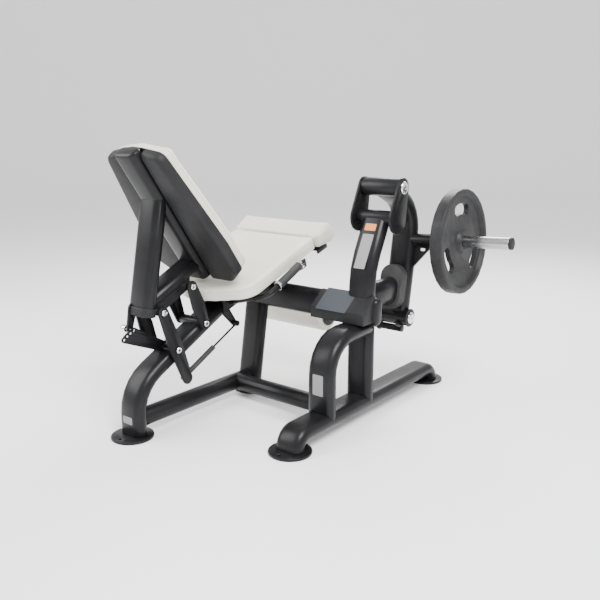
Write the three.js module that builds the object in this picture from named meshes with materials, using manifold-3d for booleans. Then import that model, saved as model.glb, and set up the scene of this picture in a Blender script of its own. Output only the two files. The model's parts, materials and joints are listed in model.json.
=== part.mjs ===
// Plate-loaded leg extension machine, in millimetres, +Z up.
// X runs to the sitting user's right and Y runs forward. The origin is on the floor, under the rear foot.
import * as THREE from "three";
import { ConvexGeometry } from "three/addons/geometries/ConvexGeometry.js";
import { mergeVertices } from "three/addons/utils/BufferGeometryUtils.js";
import Module from "manifold-3d";

const wasm = await Module();
wasm.setup();

const DEG = Math.PI / 180;
const MERGE_DISTANCE = 1e-3;

// ---------- Clearances ----------
const TOUCH_GAP = 0.3; // between pieces that rest on each other
const RUNNING_GAP = 0.4; // round a shaft that turns in its bore
const OPEN_PIVOT_GAP = 3.5; // round the one pivot of the gas spring that is left open
const OVERRUN = 1; // how far a cutting or joining solid runs past the face it meets

// ---------- Tube sections ----------
const FRAME_TUBE = { wide: 120, thick: 60 }; // flat-oval tube of the frame and the arm
const BACK_TUBE = { wide: 122, thick: 62 }; // flat-oval tube behind the backrest
const BRACE_TUBE = { wide: 108, thick: 54 };
const BASE_TUBE_RADIUS = 38;
const BEND_STEP = 15 * DEG; // turn between the stations of a bend
const ROUND_SIDES = 16;
const FINE_SIDES = 28;
const OVAL_END_SIDES = 8;

// ---------- Base ----------
const STATION_X = 583; // centre plane of the right-hand station, which carries the arm
const FOOT = { radius: 85, thick: 10, boltRadius: 7, boltOffset: 62 };
const REAR_FOOT_Y = 0;
const CENTRE_FOOT_Y = 711;
const RIGHT_REAR_FOOT_Y = 277;
const RIGHT_FRONT_FOOT_Y = 1325;
const BASE_TUBE_Z = 66;
const CROSS_TUBE_Y = 605;
const RIGHT_FOOT_TUBE = { z: 70, bend: 58 };
const BEAM = { y: 752, z: 465, left: -30, right: STATION_X + 57, dome: 30 };
const UPRIGHT_Y = 752;
const CENTRE_UPRIGHT = { footY: 689, topY: 766 };
const ARCH = { rearY: 480, topZ: 390, bend: 140 };

// ---------- Sloping tube under the seat ----------
const REAR_TUBE = { y: 10, rise: 27 * DEG, bend: 180, throughY: 456, throughZ: 430, endY: 706 };

// ---------- Tower and arm ----------
const TOWER = { bendZ: 631, bend: 294, lean: 27 * DEG };
const TOWER_HEAD = { y: 854, z: 839, radius: 30 };
const HUB = { y: 895, z: 961, radius: 38, bore: 26, half: 86 };
const HUB_PLATE = { inner: 88, thick: 10, hubRadius: 41, lobeY: 860, lobeZ: 835, lobeRadius: 62 };
const SHAFT_RADIUS = 15;
const BEARING_LENGTH = 22;
const PIVOT_CAP = { radius: 26, thick: 9, socket: 6 };
const ARM = { fall: 24.3 * DEG, lean: 9.7 * DEG, bend: 165 };
const LOWER_HUB = { y: 1030, z: 383, radius: 37, left: STATION_X - 65, right: STATION_X + 74 };
const LOWER_FLANGE = { radius: 41, thick: 5 };

// ---------- Arm stop ----------
const STOP_STUB = { wide: 80, tall: 116, z: 510 };
const STOP_PAD = { tall: 195, wide: 105, thick: 52, z: 512 };

// ---------- Roller ----------
const ROLLER_BAR = { drop: 56, radius: 15, right: STATION_X + 37 };
const CHEEK = { left: STATION_X - 86, thick: 10, hubRadius: 32, barRadius: 21 };
const EAR = { left: STATION_X + 21, thick: 14, wall: 11, reach: 68 * DEG, gap: 1.2 };
const ROLLER = { radius: 82, halfLength: 215, coreWall: 6, edge: 14 };
const ROLLER_FLANGE = { radius: 52, thick: 5 };
const BAR_CAP = { radius: 27, thick: 10 };

// ---------- Weight horn and plate ----------
const HORN = { y: 1088, armZ: 723, rise: 3 * DEG, base: 28, sleeve: 25, end: STATION_X + 494, endRing: 10 };
const HORN_STOP = { x: STATION_X + 229, radius: 42, thick: 8 };
const GUSSET = { thick: 10, depth: 120, reach: 72, tip: 30, slotLong: 26, slotRadius: 6 };
const PLATE = { radius: 220, thick: 50, rim: 24, web: 22, hub: 46 };
const PLATE_GRIP = { count: 3, middle: 138, halfAngle: 17 * DEG, radius: 23 };

// ---------- Seat ----------
const SEAT = { y: 709, z: 606, pitch: 18.5 * DEG, thick: 62, frontS: 196, halfFront: 243, edge: 16 };
const SEAT_REAR = { cornerS: -290, halfWide: 264, middleS: -396, cornerRadius: 90, middleRadius: 280 };
const SEAT_BOARD = { thick: 10, inset: 42 };
const BOLSTER = {
  gap: 3, halfWide: 258, edge: 14, rearTop: 64,
  noseLow: { s: 304, n: -15 }, nose: { s: 352, n: 10 }, crown: { s: 302, n: 90 },
};
const BOLSTER_BRACKET = {
  halfWide: 228,
  thick: 8,
  low: -24,
  rearS: 60,
  crossS: 215,
  frontS: 288,
  half: 40,
  lip: 14,
};
const SADDLE = { thick: 8, rearY: 462, frontY: 776, footZ: 500, below: 10 };

// ---------- Side handles ----------
const HANDLE = { x: 286, tube: 11, bend: 34, tail: 66, nose: 20 };
const GRIP = { rearY: 564, rearZ: 554, frontY: 719, frontZ: 627, radius: 18 };
const HANDLE_ROOT = { x: 73, z: 468 };
const HANDLE_STRIP = { wide: 30, thick: 7, bend: 12, above: 9, endX: 190 };

// ---------- Backrest ----------
const BACK = { y: 91, z: 1110, lean: 34.5 * DEG, cushion: 50, edge: 18 };
const BACK_WIDTHS = { top: 153, low: 231, corner: 234, bottom: 170 };
const BACK_STATIONS = { arch: -30, top: 0, low: 424, corner: 561, bottom: 618 };
const SHELL = { deep: 40, inset: 20, channelHalf: 68 };
const BACK_AXIS = { behind: 35.5, top: -17, bottom: 584 };
const END_CAP = { dome: 14 };
const POST = { jointS: 186, footY: 83, footZ: 516 };
const POST_COLLAR = { thick: 30, proud: 3 };
const BRACE = { jointS: 522, footY: 95, footZ: 535 };

// ---------- Backrest linkage ----------
const LINK = { inner: 68, thick: 9, rise: 166, back: 63.5, endRadius: 24, midRadius: 34, tail: 145 };
const REAR_PIVOT = { y: 186, z: 330, sleeve: 15 };
const FRONT_PIVOT = { y: 342.6, z: 408.1, sleeve: 20 };
const PIVOT_BOLT = { radius: 7, head: 13, headThick: 7 };
const RAIL = { halfWide: 44, radius: 17 };
const SWING = 18 * DEG; // rearward travel of the links from rest
const SELECTOR = { left: -12, thick: 6, hole: 5.4, margin: 7, holes: 4, y: 41, z: 428, root: 22 };
const PIN = { radius: 4.6, tipGap: 0.6, length: 40, knobRadius: 14, knobLength: 24 };
const PIN_BRACKET = { left: -40, thick: 9, footY: 62, footZ: 512, footRadius: 20, eyeRadius: 13 };

// ---------- Gas spring ----------
const GAS = {
  x: 50,
  cylinder: 11,
  cylinderLength: 195,
  rod: 4.5,
  inserted: 120,
  eye: 13,
  eyeWide: 14,
  endWall: 6,
};
const GAS_STUD = 5;
const GAS_ANCHOR = { y: 560, z: 358, studEnd: 62 };
const GAS_BRACKET = { left: 30, thick: 8, rootY: 512, rootDrop: 42, rootRadius: 22, tipRadius: 14 };

// ---------- Console ----------
const CONSOLE = { left: STATION_X - 193, right: STATION_X + 72, topY: 738, topZ: 532, rearY: 655, rearZ: 470, deep: 46 };

// ---------- Finishes ----------
const look = (color, roughness, metalness) => new THREE.MeshStandardMaterial(
  { color, roughness, metalness },
);
const PAINT = look(0x1d1d1f, 0.45, 0.3);
const STEEL = look(0x8f9296, 0.35, 0.9);
const CHROME = look(0xd6d8da, 0.15, 1);
const IVORY = look(0xdcd9cc, 0.6, 0);
const PLASTIC = look(0x2a2a2c, 0.55, 0);
const RUBBER = look(0x161616, 0.85, 0);
const IRON = look(0x242527, 0.6, 0.4);
const BOARD = look(0x2b2622, 0.8, 0);

const X_AXIS = new THREE.Vector3(1, 0, 0);
const Y_AXIS = new THREE.Vector3(0, 1, 0);
const Z_AXIS = new THREE.Vector3(0, 0, 1);
const yz = (y, z, x = 0) => new THREE.Vector3(x, y, z);

// ---------- Solids ----------

// The closed solid of a three.js geometry, with shared vertices merged and empty triangles dropped.
function solidOf(geometry) {
  const bare = geometry.clone();
  bare.deleteAttribute("normal");
  bare.deleteAttribute("uv");
  const merged = mergeVertices(bare, MERGE_DISTANCE);
  const corners = merged.index.array;
  const kept = [];
  for (let i = 0; i < corners.length; i += 3) {
    const [a, b, c] = corners.slice(i, i + 3);
    if (a !== b && b !== c && c !== a) kept.push(a, b, c);
  }
  const mesh = new wasm.Mesh({
    numProp: 3,
    vertProperties: Float32Array.from(merged.attributes.position.array),
    triVerts: Uint32Array.from(kept),
  });
  return new wasm.Manifold(mesh);
}

const joined = (...solids) => solids.reduce((sum, solid) => sum.add(solid));
const cut = (solid, ...tools) => tools.reduce((rest, tool) => rest.subtract(tool), solid);

// The larger of the bodies that a cut leaves.
function mainBody(solid) {
  return solid.decompose().reduce((best, body) => (body.volume() > best.volume() ? body : best));
}

function node(name, solid, material) {
  const { vertProperties, triVerts } = solid.getMesh();
  const geometry = new THREE.BufferGeometry();
  geometry.setAttribute("position", new THREE.BufferAttribute(vertProperties, 3));
  geometry.setIndex(new THREE.BufferAttribute(triVerts, 1));
  geometry.computeVertexNormals();
  const mesh = new THREE.Mesh(geometry, material);
  mesh.name = name;
  return mesh;
}

// A frame that takes an outline's (u, v) to two directions in space, and its depth to a third.
function plane(origin, u, v) {
  const w = new THREE.Vector3().crossVectors(u, v);
  return new THREE.Matrix4().makeBasis(u, v, w).setPosition(origin);
}

function prism(outline, from, to, place, curveSegments = ROUND_SIDES / 2) {
  const geometry = new THREE.ExtrudeGeometry(
    outline,
    { depth: to - from, bevelEnabled: false, curveSegments },
  );
  geometry.translate(0, 0, from);
  return solidOf(geometry.applyMatrix4(place));
}

// A piece with a (Y, Z) outline that spans x0 to x1.
const slab = (outline, x0, x1) => prism(outline, x0, x1, plane(new THREE.Vector3(), Y_AXIS, Z_AXIS));

function rod(from, to, radius, sides = ROUND_SIDES, endRadius = radius) {
  const along = to.clone().sub(from);
  const geometry = new THREE.CylinderGeometry(endRadius, radius, along.length(), sides);
  const turn = new THREE.Quaternion().setFromUnitVectors(Y_AXIS, along.clone().normalize());
  geometry.applyQuaternion(turn);
  const middle = from.clone().add(to).multiplyScalar(0.5);
  return solidOf(geometry.translate(middle.x, middle.y, middle.z));
}

// A rod along X, and the same with a bore.
const crossRod = (x0, x1, at, radius, sides) => rod(yz(at.y, at.z, x0), yz(at.y, at.z, x1), radius, sides);
const crossRing = (x0, x1, at, outer, inner, sides) =>
  cut(crossRod(x0, x1, at, outer, sides), crossRod(x0 - OVERRUN, x1 + OVERRUN, at, inner, sides));

function circlePoints({ y, z, r }) {
  return Array.from({ length: ROUND_SIDES }, (_, i) => {
    const angle = (2 * Math.PI * i) / ROUND_SIDES;
    return new THREE.Vector2(y + r * Math.cos(angle), z + r * Math.sin(angle));
  });
}

// The convex outline round a set of points in a plane, anticlockwise.
function convexOutline(points) {
  const sorted = [...points].sort((a, b) => a.x - b.x || a.y - b.y);
  const turnsLeft = (a, b, c) => (b.x - a.x) * (c.y - a.y) - (b.y - a.y) * (c.x - a.x) > MERGE_DISTANCE;
  const chain = (ordered) => {
    const kept = [];
    for (const point of ordered) {
      while (kept.length > 1 && !turnsLeft(kept.at(-2), kept.at(-1), point)) kept.pop();
      kept.push(point);
    }
    return kept.slice(0, -1);
  };
  return [...chain(sorted), ...chain(sorted.reverse())];
}

// A plate square to X whose outline wraps a set of discs {y, z, r}.
const discPlate = (discs, x0, x1) => slab(
  new THREE.Shape(convexOutline(discs.flatMap(circlePoints))),
  x0,
  x1,
);

// ---------- Bent tubes ----------

// Points and directions round a bend from `before` to `after` with its corner at `at`.
function bendStations(before, at, after, radius) {
  const inward = at.clone().sub(before).normalize();
  const outward = after.clone().sub(at).normalize();
  const angle = inward.angleTo(outward);
  const axis = new THREE.Vector3().crossVectors(inward, outward).normalize();
  const start = at.clone().addScaledVector(inward, -radius * Math.tan(angle / 2));
  const toCentre = new THREE.Vector3().crossVectors(axis, inward).multiplyScalar(radius);
  const centre = start.clone().add(toCentre);
  const steps = Math.max(2, Math.ceil(angle / BEND_STEP));
  return Array.from({ length: steps + 1 }, (_, i) => {
    const turn = (angle * i) / steps;
    return {
      point: toCentre.clone().negate().applyAxisAngle(axis, turn).add(centre),
      tangent: inward.clone().applyAxisAngle(axis, turn),
    };
  });
}

// Straights joined by bends. Corners are {at, radius}; `across` is the section's own x at the start.
class BentPath extends THREE.Curve {
  constructor(corners, across) {
    super();
    this.across = across;
    const ends = (a, b) => ({ point: a.at, tangent: b.at.clone().sub(a.at).normalize() });
    const first = ends(corners[0], corners[1]);
    const [before, last] = corners.slice(-2);
    const middle = corners.slice(1, -1).flatMap((corner, i) =>
      bendStations(corners[i].at, corner.at, corners[i + 2].at, corner.radius));
    this.stations = [first, ...middle, { point: last.at, tangent: ends(before, last).tangent }];
  }

  getSpacedPoints() {
    return this.stations.map((station) => station.point.clone());
  }

  // The section is carried round each bend by the smallest turn, so it never twists.
  computeFrenetFrames() {
    const tangents = this.stations.map((station) => station.tangent);
    const turn = new THREE.Quaternion();
    const normals = [this.across.clone()];
    for (let i = 1; i < tangents.length; i++) {
      turn.setFromUnitVectors(tangents[i - 1], tangents[i]);
      normals.push(normals[i - 1].clone().applyQuaternion(turn));
    }
    const binormals = tangents.map((tangent, i) => new THREE.Vector3().crossVectors(tangent, normals[i]));
    return { tangents, normals, binormals };
  }
}

function flatOval(wide, thick) {
  const radius = thick / 2;
  const half = (wide - thick) / 2;
  const shape = new THREE.Shape();
  shape.moveTo(-half, -radius);
  shape.lineTo(half, -radius);
  shape.absarc(half, 0, radius, -Math.PI / 2, Math.PI / 2);
  shape.lineTo(-half, radius);
  shape.absarc(-half, 0, radius, Math.PI / 2, 1.5 * Math.PI);
  return shape;
}

function sweep(section, corners, across, curveSegments = OVAL_END_SIDES / 2) {
  const path = new BentPath(corners, across);
  const steps = path.stations.length - 1;
  return solidOf(new THREE.ExtrudeGeometry(section, { steps, extrudePath: path, curveSegments }));
}

// A flat-oval tube; `grow` widens it all round, to cut room for it out of what meets it.
function ovalTube(size, corners, across = X_AXIS) {
  return (grow = 0) => sweep(flatOval(size.wide + 2 * grow, size.thick + 2 * grow), corners, across);
}

function roundTube(radius, corners, across) {
  const circle = new THREE.Shape();
  circle.absarc(0, 0, radius, 0, 2 * Math.PI);
  return sweep(circle, corners, across, ROUND_SIDES / 4);
}

// The points of a domed cap over a flat-oval end: `out` points off the tube, `across` along its width.
function ovalCapPoints(size, origin, across, out, thick, dome) {
  const up = new THREE.Vector3().crossVectors(out, across);
  const layers = [
    [0, 0],
    [thick, 0],
    [thick + 0.6 * dome, 0.08],
    [thick + 0.9 * dome, 0.25],
    [thick + dome, 0.5],
  ];
  return layers.flatMap(([height, shrink]) => {
    const inset = shrink * size.thick;
    return flatOval(size.wide - inset, size.thick - inset).getPoints(OVAL_END_SIDES / 2).map((p) =>
      origin.clone().addScaledVector(across, p.x).addScaledVector(up, p.y).addScaledVector(out, height));
  });
}

// A straight flat-oval tube with both ends domed.
function domedBar(size, from, to, across, dome) {
  return (grow = 0) => {
    const grown = { wide: size.wide + 2 * grow, thick: size.thick + 2 * grow };
    const along = to.clone().sub(from).normalize();
    const ends = [[from, along.clone().negate()], [to, along]];
    const points = ends.flatMap(([end, out]) => ovalCapPoints(grown, end, across, out, grow, dome));
    return solidOf(new ConvexGeometry(points));
  };
}

// A piece turned on a lathe: [radius, height] points, from the axis to the axis, upward along `out`.
function turned(profile, origin, out, sides = ROUND_SIDES) {
  const geometry = new THREE.LatheGeometry(profile.map(([r, h]) => new THREE.Vector2(r, h)), sides);
  geometry.applyQuaternion(new THREE.Quaternion().setFromUnitVectors(Y_AXIS, out));
  return solidOf(geometry.translate(origin.x, origin.y, origin.z));
}

// ---------- Soft outlines ----------

// The points of a closed convex outline; corners are [u, v, radius], with no radius for a sharp one.
function roundedOutline(corners) {
  const at = (i) => {
    const [u, v] = corners[(i + corners.length) % corners.length];
    return new THREE.Vector3(u, v, 0);
  };
  return corners.flatMap(([, , radius], i) =>
    radius ? bendStations(at(i - 1), at(i), at(i + 1), radius).map((station) => station.point) : [at(i)]);
}

// The same outline moved inward all round.
function insetOutline(points, inset) {
  return points.map((point, i) => {
    const before = points[(i + points.length - 1) % points.length];
    const after = points[(i + 1) % points.length];
    const into = point.clone().sub(before).normalize();
    const out = after.clone().sub(point).normalize();
    const bisector = new THREE.Vector3(-(into.y + out.y), into.x + out.x, 0).normalize();
    const reach = inset / Math.max(0.5, -into.y * bisector.x + into.x * bisector.y);
    return point.clone().addScaledVector(bisector, reach);
  });
}

// A pad over a convex outline from `low` to `high`, with its edges rounded by the given radii.
function pad(points, low, high, lowEdge, highEdge, place) {
  const steps = [0, 30, 60, 90].map((angle) => angle * DEG);
  const layers = [
    ...steps.map((a) => [low + lowEdge * (1 - Math.sin(a)), lowEdge * (1 - Math.cos(a))]),
    ...steps.map((a) => [high - highEdge * (1 - Math.sin(a)), highEdge * (1 - Math.cos(a))]),
  ];
  const cloud = layers.flatMap(([height, inset]) =>
    insetOutline(points, inset).map((p) => new THREE.Vector3(p.x, p.y, height).applyMatrix4(place)));
  return solidOf(new ConvexGeometry(cloud));
}

const outlineOf = (points) => new THREE.Shape(points.map((p) => new THREE.Vector2(p.x, p.y)));
const polygon = (points) => new THREE.Shape(points.map(([u, v]) => new THREE.Vector2(u, v)));

// ---------- Base and uprights ----------
const FLOOR_TOP = FOOT.thick + TOUCH_GAP;
const rearTubeZ = (y) => REAR_TUBE.throughZ + (y - REAR_TUBE.throughY) * Math.tan(REAR_TUBE.rise);
const stationCorner = (y, z, radius) => ({ at: yz(y, z, STATION_X), radius });

const rearTube = ovalTube(FRAME_TUBE, [
  { at: yz(REAR_TUBE.y, FLOOR_TOP) },
  { at: yz(REAR_TUBE.y, rearTubeZ(REAR_TUBE.y)), radius: REAR_TUBE.bend },
  { at: yz(REAR_TUBE.endY, rearTubeZ(REAR_TUBE.endY)) },
]);
const beam = domedBar(
  FRAME_TUBE,
  yz(BEAM.y, BEAM.z, BEAM.left),
  yz(BEAM.y, BEAM.z, BEAM.right),
  Z_AXIS,
  BEAM.dome,
);
const centreUpright = ovalTube(FRAME_TUBE, [
  { at: yz(CENTRE_UPRIGHT.footY, 0) },
  { at: yz(CENTRE_UPRIGHT.topY, BEAM.z) },
]);
const rightFootTube = ovalTube(FRAME_TUBE, [
  stationCorner(RIGHT_REAR_FOOT_Y, FLOOR_TOP),
  stationCorner(RIGHT_REAR_FOOT_Y, RIGHT_FOOT_TUBE.z, RIGHT_FOOT_TUBE.bend),
  stationCorner(RIGHT_FRONT_FOOT_Y, RIGHT_FOOT_TUBE.z, RIGHT_FOOT_TUBE.bend),
  stationCorner(RIGHT_FRONT_FOOT_Y, FLOOR_TOP),
]);
const rightUpright = ovalTube(FRAME_TUBE, [
  stationCorner(UPRIGHT_Y, RIGHT_FOOT_TUBE.z),
  stationCorner(UPRIGHT_Y, BEAM.z),
]);
const arch = ovalTube(FRAME_TUBE, [
  stationCorner(ARCH.rearY, RIGHT_FOOT_TUBE.z),
  stationCorner(ARCH.rearY, ARCH.topZ, ARCH.bend),
  stationCorner(UPRIGHT_Y, ARCH.topZ),
]);
const baseLongTube = (grow = 0) =>
  rod(yz(REAR_TUBE.y, BASE_TUBE_Z), yz(CENTRE_UPRIGHT.footY, BASE_TUBE_Z), BASE_TUBE_RADIUS + grow);
const baseCrossTube = () =>
  rod(
    yz(CROSS_TUBE_Y, BASE_TUBE_Z),
    yz(CROSS_TUBE_Y, BASE_TUBE_Z, STATION_X - BASE_TUBE_RADIUS),
    BASE_TUBE_RADIUS,
  );
const aboveFoot = (solid) => solid.trimByPlane([0, 0, 1], FLOOR_TOP);

// A round plate under a tube end, with its anchor hole off to the side that `towards` points to.
function footPlate(name, x, y, towards) {
  const hole = yz(y, 0, x).addScaledVector(towards, FOOT.boltOffset);
  const above = (point, z) => point.clone().setZ(z);
  const plate = rod(yz(y, 0, x), yz(y, FOOT.thick, x), FOOT.radius, FINE_SIDES);
  return node(
    name,
    cut(plate, rod(above(hole, -OVERRUN), above(hole, FOOT.thick + OVERRUN), FOOT.boltRadius)),
    PAINT,
  );
}

function buildBase() {
  const outward = Y_AXIS.clone().negate();
  return [
    footPlate("rear_foot_plate", 0, REAR_FOOT_Y, outward),
    footPlate("centre_foot_plate", 0, CENTRE_FOOT_Y, Y_AXIS),
    footPlate("right_rear_foot_plate", STATION_X, RIGHT_REAR_FOOT_Y, outward),
    footPlate("right_front_foot_plate", STATION_X, RIGHT_FRONT_FOOT_Y, Y_AXIS),
    node("rear_frame_tube", rearTubeWithSleeves(), PAINT),
    node(
      "base_long_tube",
      mainBody(cut(baseLongTube(), rearTube(TOUCH_GAP), centreUpright(TOUCH_GAP))),
      PAINT,
    ),
    node("base_cross_tube",
      mainBody(cut(baseCrossTube(), baseLongTube(TOUCH_GAP), rightFootTube(TOUCH_GAP))), PAINT),
    node("centre_upright", mainBody(aboveFoot(cut(centreUpright(), beam(TOUCH_GAP)))), PAINT),
    node("right_foot_tube", rightFootTube(), PAINT),
    node("right_upright", mainBody(cut(rightUpright(), rightFootTube(TOUCH_GAP), beam(TOUCH_GAP))), PAINT),
    node("arch_tube",
      mainBody(cut(arch(), rightFootTube(TOUCH_GAP), rightUpright(TOUCH_GAP), beam(TOUCH_GAP))), PAINT),
    node("main_beam", beam(), PAINT),
    node("console_housing", consoleHousing(), PLASTIC),
  ];
}

// The wedge on the beam that carries the instruction panel: its top falls to the rear.
function consoleHousing() {
  const rearLow = CONSOLE.rearZ - CONSOLE.deep;
  const outline = polygon([
    [CONSOLE.topY, CONSOLE.topZ],
    [CONSOLE.rearY, CONSOLE.rearZ],
    [CONSOLE.rearY, rearLow],
    [BEAM.y, rearLow],
  ]);
  const block = slab(outline, CONSOLE.left, CONSOLE.right);
  return mainBody(cut(block, beam(TOUCH_GAP), tower(TOUCH_GAP), rightUpright(TOUCH_GAP), arch(TOUCH_GAP)));
}

// ---------- Tower, hub and arm ----------
const HUB_LEFT = STATION_X - HUB.half;
const HUB_RIGHT = STATION_X + HUB.half;
const towerLean = yz(Math.sin(TOWER.lean), Math.cos(TOWER.lean));
const towerCorner = yz(UPRIGHT_Y, TOWER.bendZ, STATION_X);
const towerLength = yz(TOWER_HEAD.y, TOWER_HEAD.z, STATION_X).sub(towerCorner).dot(towerLean);
const tower = ovalTube(FRAME_TUBE, [
  stationCorner(UPRIGHT_Y, BEAM.z),
  { at: towerCorner, radius: TOWER.bend },
  { at: towerCorner.clone().addScaledVector(towerLean, towerLength - TOWER_HEAD.radius / 3) },
]);

const armFall = yz(Math.cos(ARM.fall), -Math.sin(ARM.fall));
const armRise = yz(Math.sin(ARM.lean), Math.cos(ARM.lean));
const armRearward = yz(-Math.cos(ARM.lean), Math.sin(ARM.lean));
const planeCross = (a, b) => a.y * b.z - a.z * b.y;

// Where the arm's two straights would meet.
function armCorner() {
  const drop = yz(LOWER_HUB.y - HUB.y, LOWER_HUB.z - HUB.z);
  const reach = planeCross(drop, armRise) / planeCross(armFall, armRise);
  return yz(HUB.y, HUB.z, STATION_X).addScaledVector(armFall, reach);
}

// The arm's centre line at a height on its lower straight.
function armPoint(z) {
  return yz(LOWER_HUB.y, LOWER_HUB.z, STATION_X).addScaledVector(armRise, (z - LOWER_HUB.z) / armRise.z);
}

const arm = ovalTube(FRAME_TUBE, [
  stationCorner(HUB.y, HUB.z),
  { at: armCorner(), radius: ARM.bend },
  stationCorner(LOWER_HUB.y, LOWER_HUB.z),
]);

// A chrome button over a pivot's end, with a hexagon socket.
function pivotCap(x, side, at) {
  const { radius, thick, socket } = PIVOT_CAP;
  const out = X_AXIS.clone().multiplyScalar(side);
  const origin = yz(at.y, at.z, x);
  const profile = [
    [0, 0],
    [radius, 0],
    [radius, thick * 0.4],
    [radius * 0.86, thick * 0.85],
    [radius * 0.5, thick],
    [0, thick],
  ];
  const socketEnd = origin.clone().addScaledVector(out, thick + OVERRUN);
  const socketRoot = origin.clone().addScaledVector(out, thick / 2);
  return cut(turned(profile, origin, out), rod(socketRoot, socketEnd, socket, 6));
}

function buildTower() {
  const outer = HUB_PLATE.inner + HUB_PLATE.thick;
  const hubDisc = { ...HUB, r: HUB_PLATE.hubRadius };
  const lobeDisc = { y: HUB_PLATE.lobeY, z: HUB_PLATE.lobeZ, r: HUB_PLATE.lobeRadius };
  const shaftRoom = crossRod(HUB_LEFT - outer, HUB_RIGHT + outer, HUB, SHAFT_RADIUS + TOUCH_GAP);
  const sidePlate = (x) => cut(discPlate([hubDisc, lobeDisc], x, x + HUB_PLATE.thick), shaftRoom);
  const headHalf = HUB_PLATE.inner - TOUCH_GAP;
  const head = (grow) =>
    crossRod(STATION_X - headHalf, STATION_X + headHalf, TOWER_HEAD, TOWER_HEAD.radius + grow);
  const capAt = outer + TOUCH_GAP;
  return [
    node("tower_tube", mainBody(cut(tower(), beam(TOUCH_GAP), head(TOUCH_GAP))), PAINT),
    node("tower_head_tube", head(0), PAINT),
    node("hub_plate_left", sidePlate(STATION_X - outer), PAINT),
    node("hub_plate_right", sidePlate(STATION_X + HUB_PLATE.inner), PAINT),
    node("hub_shaft", crossRod(STATION_X - outer, STATION_X + outer, HUB, SHAFT_RADIUS), STEEL),
    node("hub_cap_left", pivotCap(STATION_X - capAt, -1, HUB), CHROME),
    node("hub_cap_right", pivotCap(STATION_X + capAt, 1, HUB), CHROME),
    ...buildStop(),
  ];
}

// The rubber pad that the arm rests on, square to the arm, and the stub that holds it.
function buildStop() {
  const armFace = armPoint(STOP_PAD.z).addScaledVector(armRearward, FRAME_TUBE.thick / 2 + TOUCH_GAP);
  const padPlace = plane(armFace, armRise, X_AXIS);
  const padFacing = new THREE.Vector3().setFromMatrixColumn(padPlace, 2);
  const rearward = Math.sign(padFacing.dot(armRearward));
  const [from, to] = [0, rearward * STOP_PAD.thick].sort((a, b) => a - b);
  const stubSize = { wide: STOP_STUB.tall, thick: STOP_STUB.wide };
  const stub = sweep(flatOval(stubSize.wide, stubSize.thick), [
    stationCorner(UPRIGHT_Y, STOP_STUB.z),
    stationCorner(LOWER_HUB.y + STOP_PAD.thick, STOP_STUB.z),
  ], Z_AXIS);
  const padRear = armFace.clone().addScaledVector(armRearward, STOP_PAD.thick + TOUCH_GAP);
  const behindPad = stub.trimByPlane(armRearward.toArray(), armRearward.dot(padRear));
  return [
    node(
      "stop_stub",
      mainBody(cut(behindPad, beam(TOUCH_GAP), tower(TOUCH_GAP), rightUpright(TOUCH_GAP))),
      PAINT,
    ),
    node(
      "stop_pad",
      prism(flatOval(STOP_PAD.tall, STOP_PAD.wide), from, to, padPlace, OVAL_END_SIDES),
      RUBBER,
    ),
  ];
}

function buildArm() {
  const hubRoom = crossRod(HUB_LEFT, HUB_RIGHT, HUB, HUB.radius + TOUCH_GAP, FINE_SIDES);
  const lowerRoom = crossRod(
    LOWER_HUB.left,
    LOWER_HUB.right,
    LOWER_HUB,
    LOWER_HUB.radius + TOUCH_GAP,
    FINE_SIDES,
  );
  const bearing = (x) =>
    crossRing(x, x + BEARING_LENGTH, HUB, HUB.bore - TOUCH_GAP, SHAFT_RADIUS + RUNNING_GAP);
  const flange = crossRod(
    LOWER_HUB.right - LOWER_FLANGE.thick,
    LOWER_HUB.right,
    LOWER_HUB,
    LOWER_FLANGE.radius,
  );
  const lowerShell = joined(
    crossRod(LOWER_HUB.left, LOWER_HUB.right, LOWER_HUB, LOWER_HUB.radius, FINE_SIDES),
    flange,
  );
  const lowerBore =
    crossRod(LOWER_HUB.left - OVERRUN, LOWER_HUB.right + OVERRUN, LOWER_HUB, SHAFT_RADIUS + RUNNING_GAP);
  return [
    node("arm_hub", crossRing(HUB_LEFT, HUB_RIGHT, HUB, HUB.radius, HUB.bore, FINE_SIDES), PAINT),
    node("hub_bearing_left", bearing(HUB_LEFT), STEEL),
    node("hub_bearing_right", bearing(HUB_RIGHT - BEARING_LENGTH), STEEL),
    node("arm_tube", mainBody(cut(arm(), hubRoom, lowerRoom)), PAINT),
    node("lower_hub", cut(lowerShell, lowerBore), PAINT),
    ...buildHorn(),
  ];
}

// ---------- Weight horn and plate ----------
const hornAxis = new THREE.Vector3(Math.cos(HORN.rise), 0, Math.sin(HORN.rise));
const armSideX = STATION_X + FRAME_TUBE.wide / 2;
const hornAt = (x) => yz(HORN.y, HORN.armZ + (x - armSideX) * Math.tan(HORN.rise), x);

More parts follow.
